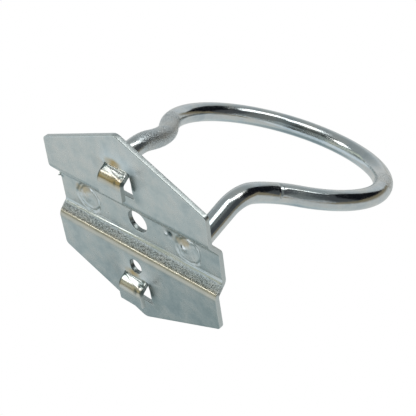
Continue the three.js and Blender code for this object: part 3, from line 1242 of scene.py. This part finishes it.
# Tones of the floor by the distance in metres from the middle of a darker pool, a painted shadow
# under the object
SHADOW_POOL_AT = (0.15, 0.13)
FLOOR_TONES = [
    (0.10, (0.31, 0.38, 0.39)), (0.18, (0.38, 0.45, 0.47)), (0.24, (0.50, 0.57, 0.59)),
    (0.32, (0.66, 0.71, 0.71)), (0.38, (0.64, 0.66, 0.65)), (0.90, (0.64, 0.65, 0.64)),
]
# Ends of the floor with another tone: compass direction, where it begins and is full, tone
FLOOR_ENDS = [
    (72, 0.40, 0.75, (0.80, 0.88, 0.93)),
    (-138, 0.75, 1.15, (0.27, 0.23, 0.16)),
]
floor_mesh = bpy.data.meshes.new("studio_floor")
corners = [(-1, -1), (1, -1), (1, 1), (-1, 1)]
floor_z = cad_low.z - FLOOR_DROP
floor_points = [(x * FLOOR_HALF, y * FLOOR_HALF, floor_z) for x, y in corners]
floor_mesh.from_pydata(floor_points, [], [(0, 1, 2, 3)])
floor = bpy.data.objects.new("studio_floor", floor_mesh)
scene.collection.objects.link(floor)


def direction_of(azimuth):
    """Level unit vector towards a compass direction in degrees, +X is 0 and +Y is 90."""
    turn = math.radians(azimuth)
    return (math.cos(turn), math.sin(turn), 0.0)


def vector_math(tree, operation, vector, fixed=(0.0, 0.0, 0.0), output="Value"):
    """One step of arithmetic between a vector socket and a fixed vector."""
    node = add(tree, "VectorMath")
    node.operation = operation
    tree.links.new(vector, node.inputs[0])
    node.inputs[1].default_value = fixed
    return node.outputs[output]


def glow(tree, shader_kind, output_kind, tones):
    """Light of these tones for the object and its reflections, plain white for the camera."""
    camera_ray = add(tree, "LightPath").outputs["Is Camera Ray"]
    shader = add(tree, shader_kind)
    tree.links.new(mix(tree, camera_ray, tones, WHITE), shader.inputs["Color"])
    output = add(tree, output_kind)
    tree.links.new(shader.outputs[0], output.inputs["Surface"])


floor_material = bpy.data.materials.new("pale_floor")
floor_tree = nodes_of(floor_material)
floor_place = add(floor_tree, "TexCoord").outputs["Object"]
# Painted shadow: the floor darkens towards the pool's middle under the object
shadow_pool = vector_math(floor_tree, "DISTANCE", floor_place, (*SHADOW_POOL_AT, floor_z))
floor_tone = ramp(floor_tree, shadow_pool, FLOOR_TONES)
for azimuth, near, far, tone in FLOOR_ENDS:
    along = vector_math(floor_tree, "DOT_PRODUCT", floor_place, direction_of(azimuth))
    floor_tone = mix(floor_tree, remap(floor_tree, along, near, far), floor_tone, tone)
glow(floor_tree, "Emission", "OutputMaterial", floor_tone)
floor_mesh.materials.append(floor_material)

world = bpy.data.worlds.new("studio")
scene.world = world
sky = nodes_of(world)
direction = add(sky, "TexCoord").outputs["Generated"]
split = add(sky, "SeparateXYZ")
sky.links.new(direction, split.inputs[0])
level = vector_math(sky, "MULTIPLY", direction, (1.0, 1.0, 0.0), output="Vector")
compass = vector_math(sky, "NORMALIZE", level, output="Vector")


def panel(below, azimuth, half_width, low, high, blur, tone):
    """Lays a soft-edged wall, dark flag or light over what is below it.

    It spans half_width degrees to each side of its compass direction and rises from low to
    high degrees above the horizon; blur softens every edge.
    """
    facing = vector_math(sky, "DOT_PRODUCT", compass, direction_of(azimuth))
    outer = math.cos(math.radians(min(half_width + blur, 180.0)))
    inner = math.cos(math.radians(max(half_width - blur, 0.0)))
    share = remap(sky, facing, outer, inner, kind="SMOOTHSTEP")
    for edge, sign in ((low, 1), (high, -1)):
        from_z = math.sin(math.radians(max(-90.0, min(90.0, edge - sign * blur))))
        to_z = math.sin(math.radians(max(-90.0, min(90.0, edge + sign * blur))))
        inside = remap(sky, split.outputs["Z"], from_z, to_z, kind="SMOOTHSTEP")
        share = calculate(sky, "MULTIPLY", share, inside)
    return mix(sky, share, below, tone)


walls = ramp(sky, remap(sky, split.outputs["Z"], -1.0, 1.0, 0.0, 1.0), [
    (0.50, (0.70, 0.72, 0.73)),
    (0.60, (0.52, 0.55, 0.56)),
    (0.72, (0.40, 0.43, 0.43)),
    (0.95, (0.36, 0.38, 0.38)),
])
# Compass direction, half width, lower and upper edge, blur, tone; later ones cover earlier ones
PANELS = [
    # grey walls and dark flags
    (168, 85, 3, 80, 7, (0.20, 0.215, 0.21)),
    (112, 16, 36, 66, 5, (0.07, 0.08, 0.075)),
    (118, 26, 2, 34, 5, (0.36, 0.40, 0.40)),
    (-152, 20, -8, 42, 6, (0.08, 0.085, 0.09)),
    (-116, 24, -9, 33, 3, (0.008, 0.009, 0.012)),
    # a window in bands, with a dark flag over it
    (50, 48, -8, 2, 3, (0.80, 0.88, 0.93)),
    (50, 48, 2, 12, 3, (0.34, 0.37, 0.34)),
    (50, 44, 12, 29, 3, (0.74, 0.77, 0.65)),
    (50, 44, 29, 41, 3, (0.34, 0.37, 0.35)),
    (62, 44, 42, 70, 3, (0.08, 0.09, 0.085)),
    # bright lights
    (-122, 15, 41, 90, 3, (3.2, 3.2, 3.15)),
    (34, 12, 40, 57, 3, (4.0, 4.0, 3.9)),
    (-100, 85, 73, 90, 3, (3.0, 3.0, 2.95)),
    (0, 180, 83, 90, 3, (3.0, 3.0, 2.95)),
]
for azimuth, half_width, low, high, blur, tone in PANELS:
    walls = panel(walls, azimuth, half_width, low, high, blur, tone)
glow(sky, "Background", "OutputWorld", walls)

camera_data = bpy.data.cameras.new("camera")
camera_data.lens = LENS
camera_data.clip_start = 0.01
camera_data.clip_end = 30.0
camera = bpy.data.objects.new("camera", camera_data)
scene.collection.objects.link(camera)
camera.location = CAMERA_AT
camera.rotation_euler = [math.radians(a) for a in CAMERA_TURN]
scene.camera = camera
